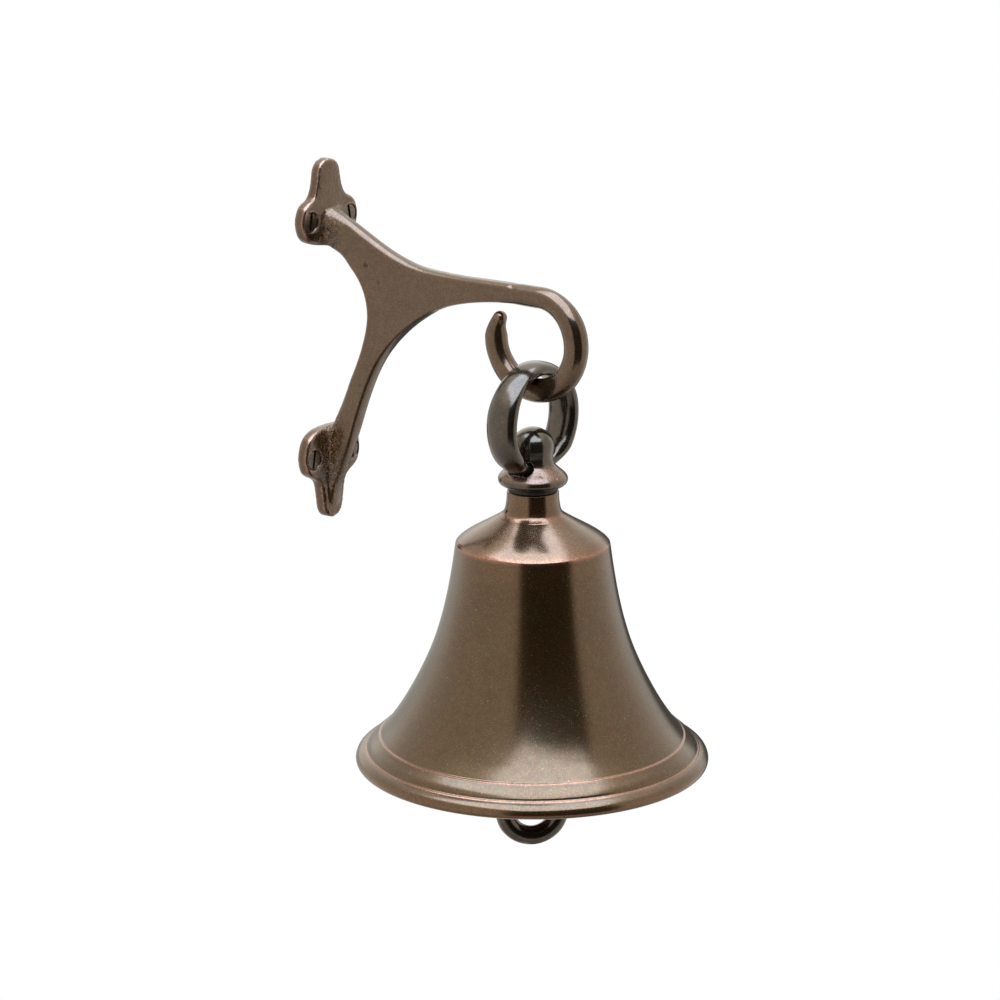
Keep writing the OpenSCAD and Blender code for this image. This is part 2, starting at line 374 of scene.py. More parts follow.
def finish_piece(obj, body, node, material, flat_over=None):
    """Scales a piece to metres, shades it smooth and hangs it on its body."""
    obj.data.transform(Matrix.Scale(MM, 4))
    obj.data.materials.clear()
    obj.data.materials.append(material)
    obj.data.polygons.foreach_set("use_smooth", [True] * len(obj.data.polygons))
    if flat_over:
        bm = bmesh.new()
        bm.from_mesh(obj.data)
        for edge in bm.edges:
            if len(edge.link_faces) == 2:
                edge.smooth = edge.calc_face_angle(0) < math.radians(flat_over)
        bm.to_mesh(obj.data)
        bm.free()
    obj.data.update()
    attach(obj, body)
    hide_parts(node)
    return obj


# -------- materials


class Nodes:
    """Short calls for building a material's nodes."""

    def __init__(self, name):
        self.material = bpy.data.materials.new(name)
        self.material.use_nodes = True
        self.tree = self.material.node_tree
        self.shader = self.tree.nodes["Principled BSDF"]
        place = self.tree.nodes.new("ShaderNodeTexCoord")
        scale = self.tree.nodes.new("ShaderNodeMapping")
        scale.inputs["Scale"].default_value = (1000, 1000, 1000)
        self.tree.links.new(place.outputs["Object"], scale.inputs["Vector"])
        self.mm = scale.outputs["Vector"]

    def put(self, socket, value):
        if isinstance(value, bpy.types.NodeSocket):
            self.tree.links.new(value, socket)
        elif value is not None:
            socket.default_value = value

    def set(self, name, value):
        self.put(self.shader.inputs[name], value)

    def noise(self, per_mm, detail=3.0, rough=0.5, distort=0.0, offset=0.0):
        n = self.tree.nodes.new("ShaderNodeTexNoise")
        vector = self.mm
        if offset:
            m = self.tree.nodes.new("ShaderNodeVectorMath")
            m.operation = "ADD"
            self.put(m.inputs[0], self.mm)
            m.inputs[1].default_value = (offset, offset * 0.7, -offset)
            vector = m.outputs[0]
        self.put(n.inputs["Vector"], vector)
        n.inputs["Scale"].default_value = per_mm
        n.inputs["Detail"].default_value = detail
        n.inputs["Roughness"].default_value = rough
        n.inputs["Distortion"].default_value = distort
        return n.outputs["Fac"]

    def cells(self, per_mm):
        v = self.tree.nodes.new("ShaderNodeTexVoronoi")
        self.put(v.inputs["Vector"], self.mm)
        v.inputs["Scale"].default_value = per_mm
        return v.outputs["Distance"], v.outputs["Color"]

    def mask(self, name):
        a = self.tree.nodes.new("ShaderNodeAttribute")
        a.attribute_name = name
        return a.outputs["Fac"]

    def math(self, operation, a, b=None, clamp=False):
        m = self.tree.nodes.new("ShaderNodeMath")
        m.operation, m.use_clamp = operation, clamp
        self.put(m.inputs[0], a)
        self.put(m.inputs[1], b)
        return m.outputs[0]

    def product(self, a, b):
        return self.math("MULTIPLY", a, b)

    def span(self, value, low, high, to_low=0.0, to_high=1.0):
        r = self.tree.nodes.new("ShaderNodeMapRange")
        r.interpolation_type = "SMOOTHSTEP"
        self.put(r.inputs["Value"], value)
        for key, v in (("From Min", low), ("From Max", high), ("To Min", to_low), ("To Max", to_high)):
            r.inputs[key].default_value = v
        return r.outputs["Result"]

    def mix(self, share, a, b):
        m = self.tree.nodes.new("ShaderNodeMix")
        m.data_type = "RGBA"
        self.put(m.inputs[0], share)
        self.put(m.inputs[6], a if isinstance(a, bpy.types.NodeSocket) else (*a, 1))
        self.put(m.inputs[7], b if isinstance(b, bpy.types.NodeSocket) else (*b, 1))
        return m.outputs[2]

    def channel(self, colour):
        s = self.tree.nodes.new("ShaderNodeSeparateColor")
        self.put(s.inputs[0], colour)
        return s.outputs[0], s.outputs[1]

    def bump(self, height, distance, strength=1.0, under=None):
        b = self.tree.nodes.new("ShaderNodeBump")
        b.inputs["Strength"].default_value = strength
        b.inputs["Distance"].default_value = distance * MM
        self.put(b.inputs["Height"], height)
        self.put(b.inputs["Normal"], under)
        return b.outputs["Normal"]


GOLDEN_GRAIN, GOLDEN_SPECK = (0.36, 0.165, 0.055), (0.52, 0.33, 0.16)


def times(factor, colour):
    return tuple(factor * v for v in colour)


def patina(n, dark, light, olive):
    """The brown skin itself, mottled at several sizes. Gives its colour, the mottle and the finest noise."""
    middle, fine = n.noise(0.33, 5, 0.66, 0.2, 31), n.noise(1.9, 4, 0.65, 0, 57)
    wide = n.noise(0.06, 4, 0.6, 0.3)
    mottle = n.math("ADD", n.product(wide, 0.35), n.product(middle, 0.65))
    colour = n.mix(n.span(mottle, 0.34, 0.66), dark, light)
    colour = n.mix(n.product(n.span(n.noise(0.09, 5, 0.6, 0.4, 93), 0.44, 0.68), 0.5), colour, olive)
    colour = n.mix(n.span(fine, 0.50, 0.70, 0.0, 0.60), colour, times(1.5, light))
    return n.mix(n.span(fine, 0.30, 0.48, 0.60, 0.0), colour, times(0.55, dark)), mottle, fine


def golden_specks(n, specks):
    """Small specks of bare metal, fainter where it is polished. Also gives a value for each cell."""
    near, tint = n.cells(1.9)
    pick, size = n.channel(tint)
    small = n.product(n.span(pick, 1 - specks, 1 - specks + 0.02),
                      n.math("LESS_THAN", near, n.product(size, 0.27)))
    near, tint = n.cells(0.8)
    pick, reach = n.channel(tint)
    large = n.product(n.span(pick, 1 - 0.2 * specks, 1.02 - 0.2 * specks),
                      n.math("LESS_THAN", near, n.product(reach, 0.20)))
    unpolished = n.product(n.math("SUBTRACT", 1.0, n.mask("gloss")), 0.5)
    return n.product(n.math("MAXIMUM", small, large), unpolished), size


def bronze(name, dark, light, olive, worn, rough=(0.18, 0.26), specks=0.5, grain=0.010,
           metallic=0.85, coat=0.8):
    """Lacquered bronze. Masks: worn bright by wear, rough by cast, painted shade in corners and recesses by
    the shade mask, polished by gloss.
    """
    n = Nodes(name)
    cast = n.mask("cast")
    colour, mottle, fine = patina(n, dark, light, olive)
    grains = n.noise(1.1, 4, 0.7, 0, 11)
    dark_grain, bright_grain = n.span(grains, 0.50, 0.57, 0.0, 0.9), n.span(grains, 0.41, 0.49, 0.9, 0.0)
    colour = n.mix(n.product(cast, dark_grain), colour, times(0.15, dark))
    colour = n.mix(n.product(cast, bright_grain), colour, GOLDEN_GRAIN)
    # Painted shade: darker where the shade mask is set, in inner corners, pits, seats, slots, under the
    # ridges and inside the bell
    colour = n.mix(n.product(n.mask("deep"), 0.9), colour, times(0.16, dark))
    broken = n.product(n.mask("wear"), n.span(n.noise(0.8, 4, 0.7, 0, 23), 0.25, 0.62, 0.35, 1.0))
    colour = n.mix(broken, colour, worn)
    share, cell_value = golden_specks(n, specks)
    colour = n.mix(n.product(n.span(cell_value, 0, 1), 0.42), colour, times(0.5, dark))
    n.set("Base Color", n.mix(share, colour, GOLDEN_SPECK))
    n.shader.inputs["Metallic"].default_value = metallic
    n.shader.inputs["Coat Weight"].default_value = coat
    n.shader.inputs["Coat IOR"].default_value = 1.6
    n.shader.inputs["Coat Roughness"].default_value = 0.5 * (rough[0] + rough[1])
    r = n.span(mottle, 0.35, 0.65, rough[1], rough[0])
    r = n.math("ADD", r, n.product(cast, 0.20))
    r = n.math("SUBTRACT", r, n.product(n.mask("gloss"), 0.10))
    r = n.math("ADD", r, n.product(n.math("SUBTRACT", fine, 0.5), 0.10))
    n.set("Roughness", n.math("ADD", r, n.product(share, 0.2), True))
    skin = n.bump(n.noise(0.30, 3, 0.5, 0, 71), grain * 5, 0.5)
    skin = n.bump(n.noise(2.6, 3, 0.6, 0, 3), grain, 0.8, skin)
    lumps = n.product(cast, n.math("SUBTRACT", n.noise(2.2, 3, 0.6, 0, 37), grains))
    n.set("Normal", n.bump(lumps, 0.6, 1.0, skin))
    return n.material


def leather(name):
    n = Nodes(name)
    grain, _ = n.cells(2.4)
    black, brown = (0.006, 0.005, 0.004), (0.022, 0.017, 0.013)
    n.set("Base Color", n.mix(n.noise(0.6, 4, 0.6), black, brown))
    n.set("Roughness", n.span(n.noise(1.2, 3), 0.3, 0.7, 0.42, 0.68))
    n.set("Normal", n.bump(grain, 0.12, 0.7))
    return n.material


bell_bronze = bronze("bell_bronze", (0.086, 0.036, 0.007), (0.122, 0.061, 0.013), (0.094, 0.069, 0.018),
                     (0.42, 0.175, 0.10), (0.16, 0.22), 0.60)
bracket_bronze = bronze("bracket_bronze", (0.094, 0.044, 0.018), (0.138, 0.076, 0.034), (0.094, 0.064, 0.028),
                        (0.42, 0.24, 0.18), (0.18, 0.27), 0.5, 0.012)
link_bronze = bronze("link_bronze", (0.052, 0.033, 0.020), (0.098, 0.070, 0.044), (0.050, 0.051, 0.036),
                     (0.34, 0.17, 0.11), (0.13, 0.21), 0.06, 0.006)
screw_bronze = bronze("screw_bronze", (0.050, 0.030, 0.017), (0.110, 0.074, 0.042), (0.065, 0.052, 0.030),
                      (0.34, 0.21, 0.13), (0.20, 0.32), 0.0, 0.010)
inner_brass = bronze("inner_brass", (0.20, 0.130, 0.050), (0.36, 0.25, 0.10), (0.17, 0.14, 0.07),
                     (0.62, 0.46, 0.22), (0.24, 0.38), 0.20, 0.010, 0.92, 0.0)
gasket_leather = leather("gasket_leather")

# -------- bracket


def side_to_space(points, x):
    """(distance from the wall, height) to a point across the bracket at x."""
    return [(x, -y, z) for y, z in points]


def crest_width(at):
    """The lower arm's width as a share of its full width, which narrows down the lower finial."""
    return 1 - 0.14 * ease(-at[:, 2], 64, 74) - 0.46 * ease(-at[:, 2], 73, 80.6)


def web_part():
    """The arms: flat sides, with a crown along their outer edges."""
    steps = 26
    flat = np.vstack([
        cubic((1.5, 54.1), (16.5, 49), (37, 32.4), (62, 32.0), steps),
        cubic((62, 32.0), (76, 31.2), (90, 32.6), (108, 33.4), 14), [(108, 33.2), (108, 32.6)],
        cubic((100, 31.2), (84, 28), (70, 26), (60, 19.6), steps),
        cubic((60, 19.6), (46, 11), (35, 1), (27.6, -11.4), steps),
        cubic((27.6, -11.4), (19.6, -26), (15.6, -46), (7.2, -62), steps),
        cubic((7.2, -62), (5.6, -66), (5.0, -71), (4.5, -77.6), 8),
        [(4.2, -78.0), (1.5, -78.0), (1.5, -43.6)],
        cubic((5.6, -41.6), (14.6, -24), (28.5, -1), (28.5, 14), steps),
        cubic((28.5, 14), (28.5, 27.6), (16, 37.4), (5.6, 41.4), steps), [(1.5, 43.4)]])
    edge = np.vstack([
        cubic((1.5, 60.0), (18, 54.6), (38, 38.6), (60, 37.6), steps),
        cubic((60, 37.6), (76, 36.4), (92, 37.4), (108, 37.3), 14), [(108, 33.2), (108, 29.0)],
        cubic((98, 28.4), (86, 27.0), (74, 25.0), (63, 19.6), steps),
        cubic((63, 19.6), (48.4, 11.4), (36.6, 0.4), (29.6, -12.6), steps),
        cubic((29.6, -12.6), (21.6, -27.6), (17.0, -47), (8.8, -64), steps),
        cubic((8.8, -64), (7.0, -68.4), (6.1, -73), (4.9, -78.4), 8),
        [(4.4, -79.0), (1.5, -79.0), (1.5, -42.6)],
        cubic((4.6, -42.6), (13.6, -24), (27.2, -1), (27.2, 14), steps),
        cubic((27.2, 14), (27.2, 28.4), (15, 38.6), (4.6, 42.6), steps), [(1.5, 43.0)]])
    rings = []
    for f in np.linspace(0, math.pi, 21):
        # The crown is a nearly flat face with tight corners
        share = math.sin(f) ** 0.8
        x = ARM_HALF * math.copysign(abs(math.cos(f)) ** 0.7, math.cos(f))
        rings.append(side_to_space(flat + (edge - flat) * share, x))
    n = len(flat)
    verts = [v for ring in rings for v in ring]
    faces = row_faces(len(rings), n)
    cap = tessellate_polygon([[Vector(v) for v in rings[0]]])
    faces += [tuple(t) for t in cap]
    faces += [tuple(len(verts) - n + k for k in reversed(t)) for t in cap]
    web = tidy_normals(mesh_object("web", verts, faces))
    at = coords(web)
    at[:, 0] *= crest_width(at)
    # The upper arm widens into its plate
    at[:, 0] *= 1 + 0.55 * (1 - ease(-at[:, 1], 3.5, 17)) * ease(at[:, 2], 38, 46)
    set_coords(web, at)
    return web


def plate_part(tip, finial_w, inner, up):
    """A trefoil wall plate with a rounded front edge."""
    finial = [(0, tip), (0.56 * finial_w, tip - 1.4), (0.88 * finial_w, tip - 4.8), (finial_w, tip - 10)]
    foil = [(finial_w + 1.3, 65.4), (11, 62.6), (14.4, 60.9), (17.2, 58.3), (18.6, 53.4)]
    right = smooth(finial + foil + inner, 8)
    loop = np.vstack([right, [(-x, z) for x, z in right[-2:0:-1]]])
    n = len(loop)
    ahead = np.roll(loop, -1, 0) - np.roll(loop, 1, 0)
    inward = np.stack([ahead[:, 1], -ahead[:, 0]], 1)
    inward /= np.linalg.norm(inward, axis=1)[:, None]
    if (inward * (np.array([0, 58]) - loop)).sum() < 0:
        inward = -inward
    r = 1.5
    levels = [(0.0, 0.35), (0.35, 0.0)]
    quarter = np.linspace(0, math.pi / 2, 9)
    levels += [(PLATE_FACE - r + r * math.sin(f), r * (1 - math.cos(f))) for f in quarter]
    levels.append((PLATE_FACE + 0.15, 4.5))
    verts = []
    for y, inset in levels:
        verts += [(p[0], -y, up * p[1]) for p in loop + inward * inset]
    faces = row_faces(len(levels), n)
    cap = tessellate_polygon([[Vector(v) for v in verts[:n]]])
    faces += [tuple(t) for t in cap]
    top = tessellate_polygon([[Vector(v) for v in verts[-n:]]])
    faces += [tuple(len(verts) - n + k for k in t) for t in top]
    return tidy_normals(mesh_object("plate", verts, faces))


def hook_part():
    """The round bar of the hook, from inside the upper arm to its blunt tip."""
    line, radius = [], []
    for y in np.linspace(84, 117, 22):
        line.append((y, 33 - 0.4 * (1 - ease(y, 84, 112))))
        radius.append(3.3 + 1.25 * ease(y, 86, 112))
    for a in np.linspace(90, 180, 40)[1:]:
        line.append((118.3 - 19 * math.cos(math.radians(a)), 14 + 19 * math.sin(math.radians(a))))
        radius.append(4.55 + 0.65 * ease(a, 95, 165))
    for a in np.linspace(-180, 0, 70)[1:]:
        line.append((116.3 - 21 * math.cos(math.radians(a)), 14 + 21 * math.sin(math.radians(a))))
        radius.append(5.2 - 0.4 * ease(a, -70, 0))
    for a in np.linspace(0, 30, 16)[1:]:
        line.append((110.3 - 15 * math.cos(math.radians(a)), 14 + 15 * math.sin(math.radians(a))))
        radius.append(4.8 - 1.75 * ease(a, -6, 33))
    return sweep("hook", [(0, -y, z) for y, z in line], radius, 36)


def root_part(z, dz, y_end, half_x, half_z):
    """Swelling where an arm runs into its plate."""
    line = [(0, -y, z + dz * y) for y in np.linspace(2, y_end, 12)]
    root = sweep("root", line, [1 - 0.72 * ease(t, 0, 1) for t in np.linspace(0, 1, 12)])
    at = coords(root)
    middle = z + dz * -at[:, 1]
    at[:, 0] *= half_x
    at[:, 2] = middle + (at[:, 2] - middle) * half_z
    set_coords(root, at)
    return root


# Small blow holes left by the casting: where, how wide and how deep
PITS = (((-ARM_HALF, -27.5, 35.4), 1.0, 1.1), ((-ARM_HALF, -34.7, 28.8), 0.85, 0.8),
        ((ARM_HALF, -33.0, 22.0), 0.8, 0.6), ((-ARM_HALF, -24.0, -18.0), 0.55, 0.3))


def bracket_skin():
    """The whole casting as one skin: plates, web, hook and the swellings at the roots."""
    upper_plate = plate_part(79.4, 7.8, [(17.7, 48.4), (15.2, 44.8), (10, 42.6), (0, 40.8)], 1)
    lower_plate = plate_part(81.8, 7.1, [(18.1, 48.4), (16, 44), (12, 41.2), (6.6, 40), (0, 39.6)], -1)
    bracket = cast_together(join("bracket_casting", [
        upper_plate, lower_plate, web_part(), hook_part(),
        root_part(50.5, -0.28, 9.5, 6.6, 9.2), root_part(-55.5, 0.42, 10.5, 6.2, 13.5)]), 0.5)
    at = coords(bracket)
    depth = -at[:, 1]
    arm_root = ease(depth, 4.0, 5.4) * (1 - ease(depth, 12, 19)) * (1 - ease(np.abs(at[:, 0]), 8.5, 11))
    arm_root *= 1 - 0.94 * ease(-at[:, 2], 57, 64)
    soften(bracket, 60, arm_root)
    soften(bracket, 3, 0.5 + 0.5 * ease(depth, 90, 100))
    relax(bracket, 8, 0.9)
    return bracket


def dress_by_hand(bracket):
    """A hand-dressed casting is never quite true. The backs of the plates are filed flat."""
    at = coords(bracket)
    depth = -at[:, 1]
    at[at[:, 1] > -0.45, 1] = 0
    outward = normals(bracket)
    hand = ripple(at, 14.0, 3, 2) * 0.10 + ripple(at, 4.2, 5, 2) * 0.035
    rough_zone = (1 - ease(depth, 7, 15)) * ease(depth, 2.4, 4.4)
    rough_zone = np.clip(rough_zone * (1 - ease(np.abs(at[:, 0]), 6.5, 12.5)) * 1.3, 0, 1)
    hand += rough_zone * ripple(at, 1.25, 9, 2) * 0.14
    at += outward * (hand * ease(depth, 0.6, 1.8))[:, None]
    at[:, 1] = np.minimum(at[:, 1], 0)
    for place, size, deep_by in PITS:
        at -= outward * (deep_by * bump_at(at, place, size))[:, None]
    set_coords(bracket, at)


def seat_cutter(x, z):
    """A screw's clearance hole and its countersunk seat."""
    profile = [(0, 2), (2.4, 2), (2.4, -2.42), (4.25, -4.58), (4.4, -4.7), (4.75, -5.3), (4.75, -8), (0, -8)]
    return moved(revolve("cutter", profile, 72), shift(x, 0, z) @ turn(-90, "X"))


def paint_bracket(bracket):
    """Bright along the edges, rough at the roots of the arms, with painted shade in the corners, pits and
    seats and a painted dark reflection beside the lower crest.
    """
    at = coords(bracket)
    depth, down, side = -at[:, 1], -at[:, 2], np.abs(at[:, 0])
    convex = edge_curve(bracket, 3)
    seat_far = np.hypot(side - SEAT_X, np.abs(at[:, 2]) - SEAT_Z)
    on_plate = 1 - ease(depth, 6, 9)
    root = (1 - ease(depth, 8, 17)) * ease(depth, 2.0, 4.6) * (1 - ease(side, 7.5, 14))
    root *= (1 - ease(-down, 50, 58)) * (1 - ease(down, 62, 67))
    # A painted dark reflection: the dark line beside the crest that runs down the lower finial
    crest_dark_reflection = line_at(side, ARM_HALF * crest_width(at) + 0.35, 0.30)
    crest_dark_reflection *= ease(down, 63, 69) * (depth < 6.2) * (depth > 3.4)

    # Painted shade in the plates' inner corners and in the pits, less at the roots of the arms
    deep = ease(-convex, 0.06, 0.30) * on_plate
    deep += sum(bump_at(at, place, size) for place, size, _ in PITS)
    deep *= 1 - 0.85 * root
    deep = np.maximum(deep * (1 - 0.8 * ease(down, 62, 67)), 1.2 * crest_dark_reflection)
    # Painted shade in the screws' countersunk seats
    seat_shade = (1 - ease(seat_far, 4.3, 4.8)) * on_plate

    worn = ease(convex, 0.12, 0.42) * (0.55 + 0.45 * on_plate) * ease(depth, 0.3, 1.2)
    worn += 0.35 * ease(depth, 112, 126) * ease(convex, 0.10, 0.25)
    seat_rim = 0.8 * line_at(seat_far, 4.85, 0.3) * ease(depth, 4.4, 4.8)
    worn = np.maximum(worn * ease(seat_far, 4.6, 5.2), seat_rim) * (1 - crest_dark_reflection)
    paint(bracket, gloss=ease(depth, 92, 112), wear=worn, cast=root * (seat_far > 4.5),
          deep=np.maximum(deep * 0.7, seat_shade))


def bracket():
    casting = bracket_skin()
    dress_by_hand(casting)
    for x in (-SEAT_X, SEAT_X):
        for z in (-SEAT_Z, SEAT_Z):
            cut(casting, seat_cutter(x, z))
    paint_bracket(casting)
    finish_piece(casting, "wall_bracket", "bracket", bracket_bronze)


# -------- wall screws


def wall_screw(slot_turn):
    """A slotted countersunk wood screw about Z, its head up at z = 0."""
    length, shank, core, pitch, neck_end = 32.0, 2.1, 1.5, 1.75, -4.6
    # Below the head, the radius is 1 plus what the thread adds
    head = rounded([(0, 0), (3.95, 0), (4.1, -0.18), (4.0, -0.5), (2.2, -2.2), (2.1, neck_end)], 0.15, 3)
    levels = np.arange(neck_end, -length - 0.01, -pitch / 10)
    profile = list(map(tuple, head)) + [(1.0, z) for z in levels[1:]] + [(0, -length)]

    def threaded(a, z, i):
        if i < len(head):
            return 0
        point = 1 - ease(-z, length - 7, length)
        wave = (z / pitch - a / (2 * math.pi)) % 1
        crest = max(0.0, 1 - abs(wave - 0.5) * 4.2)
        cut_in = float(ease(-z, 11.0, 13.0))
        smooth_r = shank * (1 - cut_in) + core * cut_in
        return (smooth_r + (shank - core) * crest * cut_in) * (0.12 + 0.88 * float(point)) - 1.0

    screw = revolve("wall_screw", profile, 48, wobble=threaded)
    slot = box_object("slot", (1.4, 12, 2.6))
    return cut(screw, moved(slot, turn(slot_turn, "Z")))


def wall_screws():
    places = ((-SEAT_X, SEAT_Z), (SEAT_X, SEAT_Z), (-SEAT_X, -SEAT_Z), (SEAT_X, -SEAT_Z))
    head_face = PLATE_FACE - 0.4
    screws = join("wall_screws_threaded", [
        moved(wall_screw(slot_turn), shift(x, -head_face, z) @ turn(90, "X"))
        for (x, z), slot_turn in zip(places, (-7, 12, -10, 5))])
    at = coords(screws)
    # Painted shade on the floors of the slots
    slot_floor = (at[:, 1] > -4.3) & (at[:, 1] < -2.6)
    paint(screws, wear=0.5 * ease(edge_curve(screws, 1), 0.3, 1.2), cast=0.25,
          deep=np.where(slot_floor, 0.9, 0.0))
    finish_piece(screws, "wall_bracket", "wall_screws", screw_bronze, 40)


# -------- link


def link_bar(from_top):
    """Half the bar's thickness and half its width, at so many degrees from the link's top."""
    from_low = 180 - from_top
    thick = 3.2 + 0.85 * float(ease(from_top, 44, 74)) * float(ease(from_low, 24, 52))
    half_w = 6.5 + 0.75 * float(ease(from_top, 36, 80))
    return thick, 4.8 + (half_w - 4.8) * float(ease(from_low, 22, 54))


def link():
    """The hanging link: slimmer where it bears on the hook and in the crown eye."""
    segments, sides = 256, 72
    verts = []
    for i in range(segments):
        a = i * 360 / segments
        thick, half_w = link_bar(abs((a - 90 + 180) % 360 - 180))
        c, s = math.cos(math.radians(a)), math.sin(math.radians(a))
        for k in range(sides):
            b = k * 2 * math.pi / sides
            # Sides a little fuller than an ellipse
            cb, sb = math.cos(b), math.sin(b)
            r = RING_R + thick * math.copysign(abs(cb) ** 0.94, cb)
            w = half_w * math.copysign(abs(sb) ** 0.97, sb)
            verts.append((r * c, BELL_Y + w, RING_Z + r * s))
    ring = tidy_normals(mesh_object("hanging_link_cast", verts, ring_faces(segments, sides)))
    uneven(ring, 11.0, 12, 0.07)
    at = coords(ring)
    inside = ease(RING_R - np.hypot(at[:, 0], at[:, 2] - RING_Z), 1.2, 2.8)
    paint(ring, wear=0.75 * inside * (1 - ease(np.abs(at[:, 0]), 6, 12)), cast=0, deep=0)
    finish_piece(ring, "hanging_link", "link", link_bronze)


# -------- crown eye

# The link's bar is 3.2 thick to each side at its lowest, and hangs 0.3 clear of the slot's top
SLOT_TOP = RING_Z - RING_R + 3.2 + 0.3
KNOB_Z = SLOT_TOP + 6.4
STUD_TOP, STUD_END, STUD_PITCH = -48.5, -84.0, 1.25


def slot_tunnel():
    """The curved slot that the link passes through: a flattened round that follows the link."""
    around, along = 48, 41
    slot_r, slot_flat = 3.7, 2.2
    slot_mid = RING_Z - SLOT_TOP + slot_r
    verts = []
    for i in range(along):
        a = math.radians(270 - 36 + 72 * i / (along - 1))
        r_here = slot_r + 0.3 * abs(2 * i / (along - 1) - 1) ** 3
        for k in range(around):
            b = 2 * math.pi * k / around
            r = slot_mid + r_here * math.sin(b)
            w = math.copysign(slot_flat, math.cos(b)) + r_here * math.cos(b)
            verts.append((r * math.cos(a), w, RING_Z + r * math.sin(a)))
    faces = row_faces(along, around)
    faces += [tuple(range(around)), tuple(reversed(range((along - 1) * around, along * around)))]
    return tidy_normals(mesh_object("tunnel", verts, faces))


def crown_eye():
    """The ball finial with its waist and flange, and a few blow holes round the flange."""
    knob_r, knob_h = 9.1, 8.3
    knob = [(knob_r * math.cos(math.radians(a)), KNOB_Z + knob_h * math.sin(math.radians(a)))
            for a in range(90, -11, -4)]
    knob[0] = (0, KNOB_Z + knob_h)
    below = smooth([(8.75, -34.9), (8.65, -37.0), (9.4, -39.3), (11.3, -41.3), (13.3, -43.0), (14.5, -44.4),
                    (14.9, -45.8), (14.5, -47.2), (13.0, -48.4), (11.2, -48.9)], 8)
    eye = revolve("crown_eye_cast", knob + list(map(tuple, below)) + [(0, -48.9)], 160)
    eye = cast_together(cut(eye, slot_tunnel()), 0.3)
    soften(eye, 5, 1)
    relax(eye, 8, 0.9)
    at, outward = coords(eye), normals(eye)
    at += outward * (ripple(at, 6.0, 21, 2) * 0.09)[:, None]
    flange_r = 13.3
    blow_holes = ((-6.5, -43.6, 0.55, 0.5), (-122.5, -46.6, 0.4, 0.3), (67.5, -44.0, 0.5, 0.4))
    for degrees, z, size, deep_by in blow_holes:
        way = math.radians(degrees)
        spot = (flange_r * math.sin(way), -flange_r * math.cos(way), z)
        at -= outward * (deep_by * bump_at(at, spot, size))[:, None]
    set_coords(eye, at)
    saddle = ease(-at[:, 2], 37.0, 40.5) * (1 - ease(-at[:, 2], 44.0, 45.6))
    convex = edge_curve(eye, 3)
    # Painted shade in the inner corners, from the concave curve
    paint(eye, wear=0.55 * saddle + 0.30 * ease(convex, 0.25, 0.6), cast=0.12 * saddle,
          deep=ease(-convex, 0.15, 0.5) * 0.5)
    finish_piece(on_axis(eye), "bell", "crown_eye", link_bronze)


def crown_stud():
    """The stud under the flange, threaded where the nut and the staple sit."""
    def stud_thread(a, z, _):
        wave = (z / STUD_PITCH - a / (2 * math.pi)) % 1
        on = float(ease(-z, 66, 68)) * (1 - float(ease(-z, 83.0, 84.0)))
        return -0.62 * on * abs(wave - 0.5) * 2 - 0.6 * float(ease(-z, 83.2, 84.0))

    levels = np.arange(STUD_TOP, STUD_END - 0.01, -STUD_PITCH / 10)
    profile = [(0, STUD_TOP)] + [(3.98, z) for z in levels] + [(0, STUD_END)]
    stud = revolve("crown_stud", profile, 64, wobble=stud_thread)
    paint(stud, wear=0.2, cast=0, deep=0)
    finish_piece(on_axis(stud), "bell", "crown_eye", link_bronze, 50)


# -------- gasket, bell


def crown_gasket():
    profile = rounded([(4.4, -49.0), (10.65, -49.0), (10.8, -49.8), (10.65, -50.65), (4.4, -50.65)], 0.35, 4)
    gasket = revolve("crown_gasket_leather", list(profile), 128, closed=True)
    finish_piece(on_axis(gasket), "bell", "crown_gasket", gasket_leather)


def bell_profile():
    """The bell's outline in one closed loop, from the neck down the outside and up the inside."""
    parts = [
        rounded([(4.3, -50.72), (10.5, -50.72), (11.05, -51.2), (11.25, -55), (11.65, -57.6)], 0.5, 4),
        # Head and shoulder
        smooth([(11.85, -58.6), (12.6, -60.2), (14.0, -61.5), (16.2, -62.95), (20, -65.25), (25, -68.1),
                (29, -70.55), (31.5, -72.4), (32.55, -73.4)], 10),
        smooth([(32.55, -73.4), (32.95, -73.9), (33.15, -74.6)], 4),
        # Flare
        smooth([(33.15, -74.6), (34.5, -84), (36.6, -96), (39.4, -108), (43.2, -120), (48.4, -132),
                (54.7, -144), (60.4, -153), (65.3, -159.3)], 14),
        # Upper ridge, the band under it, lower ridge
        smooth([(65.3, -159.3), (65.75, -159.45), (66.25, -159.6), (66.55, -159.95)], 3),
        smooth([(66.55, -159.95), (67.9, -161.1), (69.7, -162.7), (70.8, -164.1), (71.25, -164.95)], 7),
        smooth([(71.25, -164.95), (71.55, -165.2), (72.0, -165.35), (72.35, -165.65)], 3),
        # Lip
        smooth([(72.35, -165.65), (74.0, -166.35), (75.4, -167.5), (76.15, -169.1), (76.1, -170.5),
                (75.5, -171.4), (74.4, -172.0)], 8),
        # Inside
        smooth([(74.4, -172), (73.2, -172.0), (72.0, -171.6), (69.6, -170.1), (63.4, -164.2), (57, -156.8),
                (50.4, -147.4), (45.4, -138.6), (40.6, -127), (36.8, -114), (34.2, -101), (32, -88),
                (29.6, -79.6), (25, -75), (18, -72.4), (13.6, -70.6), (12.6, -70.0), (4.3, -70.0)], 8)]
    profile = []
    for p in np.vstack(parts):
        if not profile or np.hypot(*(p - profile[-1])) > 0.02:
            profile.append(p)
    return profile


def spun(a, z, _):
    """The bell is cast, so its wall is out of true by a few hundredths."""
    if z >= -62:
        return 0
    return 0.05 * math.sin(3 * a + z * 0.031) + 0.035 * math.sin(5 * a - z * 0.05 + 1.3) - 0.045


